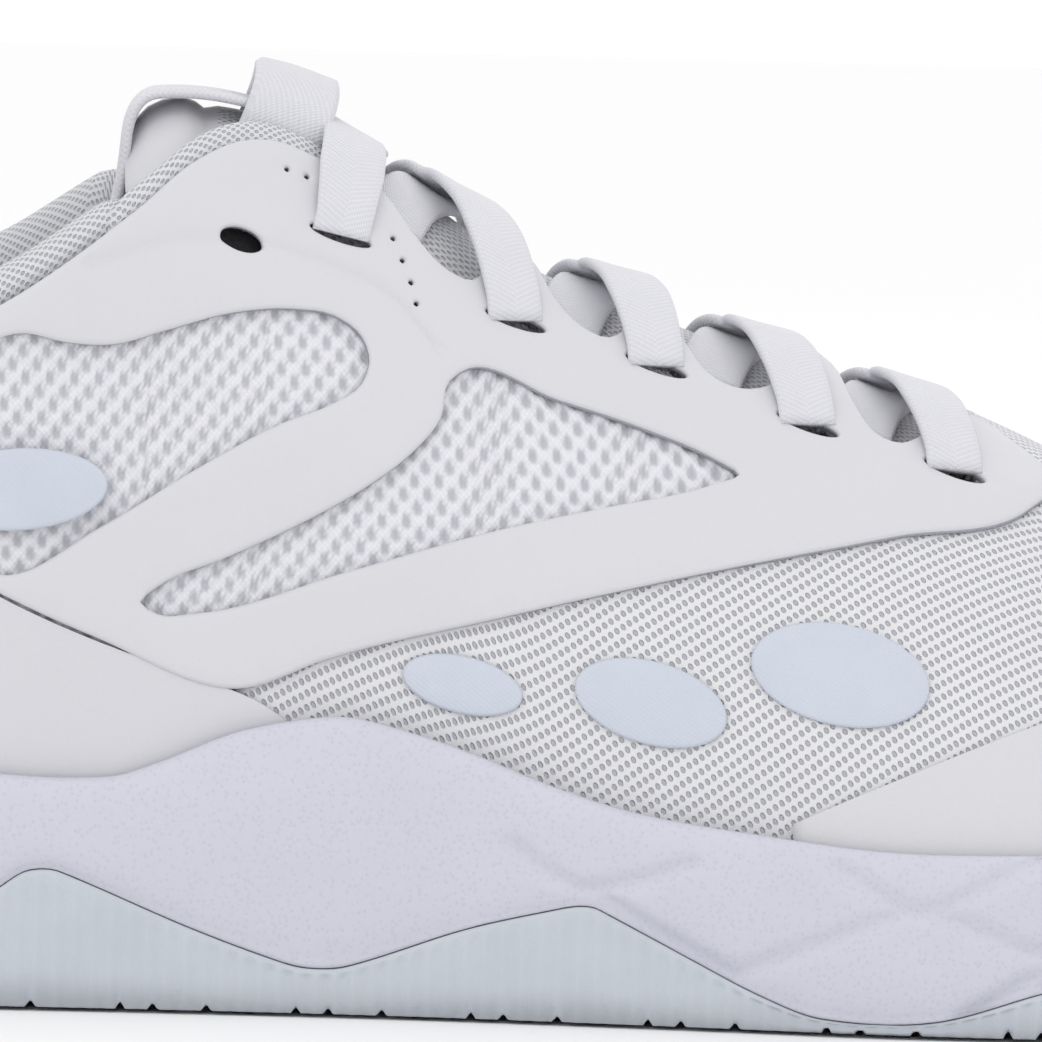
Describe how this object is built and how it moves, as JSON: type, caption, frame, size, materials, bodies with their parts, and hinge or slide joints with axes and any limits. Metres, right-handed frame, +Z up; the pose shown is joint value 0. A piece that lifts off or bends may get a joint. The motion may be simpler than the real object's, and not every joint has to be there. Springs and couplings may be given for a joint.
{
  "type": "cheer shoe",
  "caption": "Low white cheer trainer for the right foot: knit upper under a smooth cage, flat laces, sprung foam midsole and ribbed rubber outsole.",
  "frame": {"origin": "on the ground under the middle of the shoe's bounding box", "axes": "+X from heel to toe, -Y to the outer (lateral) side, +Z up"},
  "size_m": [0.272, 0.1007, 0.1157],
  "materials": {
    "outsole_rubber": "matte",
    "midsole_foam": "matte",
    "board": "matte",
    "lining_mesh": "matte",
    "fine_mesh": "matte",
    "coarse_knit": "matte",
    "smooth_overlay": "satin",
    "pale_film": "satin",
    "stiffener": "matte",
    "padding": "matte",
    "lace_fabric": "matte",
    "aglet_plastic": "gloss"
  },
  "bodies": {
    "rear": {"outsole_rear": "outsole_rubber", "midsole_rear": "midsole_foam", "strobel_board_rear": "board", "sockliner_rear": "lining_mesh", "vamp_rear": "fine_mesh", "vamp_crease": "fine_mesh", "toe_guard_rear": "smooth_overlay", "quarter_lateral": "coarse_knit", "quarter_medial": "coarse_knit", "cage_lateral": "smooth_overlay", "cage_medial": "smooth_overlay", "side_ovals_lateral": "pale_film", "side_ovals_medial": "pale_film", "heel_panel": "smooth_overlay", "heel_counter": "stiffener", "collar_foam": "padding", "collar_lining": "lining_mesh", "lace_row_1": "lace_fabric", "lace_row_2": "lace_fabric", "lace_row_3": "lace_fabric", "lace_row_4": "lace_fabric", "lace_row_5": "lace_fabric"},
    "forefoot": {"outsole_front": "outsole_rubber", "midsole_front": "midsole_foam", "strobel_board_front": "board", "sockliner_front": "lining_mesh", "toe_box": "fine_mesh", "toe_guard_front": "smooth_overlay", "toe_puff": "stiffener"},
    "tongue": {"tongue": "fine_mesh", "tongue_lining": "lining_mesh", "lace_keeper": "lace_fabric", "lace_end_lateral": "lace_fabric", "lace_end_medial": "lace_fabric", "aglet_lateral": "aglet_plastic", "aglet_medial": "aglet_plastic"}
  },
  "joints": [
    {"name": "forefoot_flex", "type": "hinge", "parent": "rear", "child": "forefoot", "pos_m": [0.064, 0, 0.022], "axis": [0, -1, 0], "range_deg": [0, 30], "stiffness_Nm_per_rad": 1.5, "deforming": ["vamp_crease"]},
    {"name": "tongue_hinge", "type": "hinge", "parent": "rear", "child": "tongue", "pos_m": [0.04, 0, 0.056], "axis": [0, -1, 0], "range_deg": [0, 12], "stiffness_Nm_per_rad": 0.6}
  ]
}
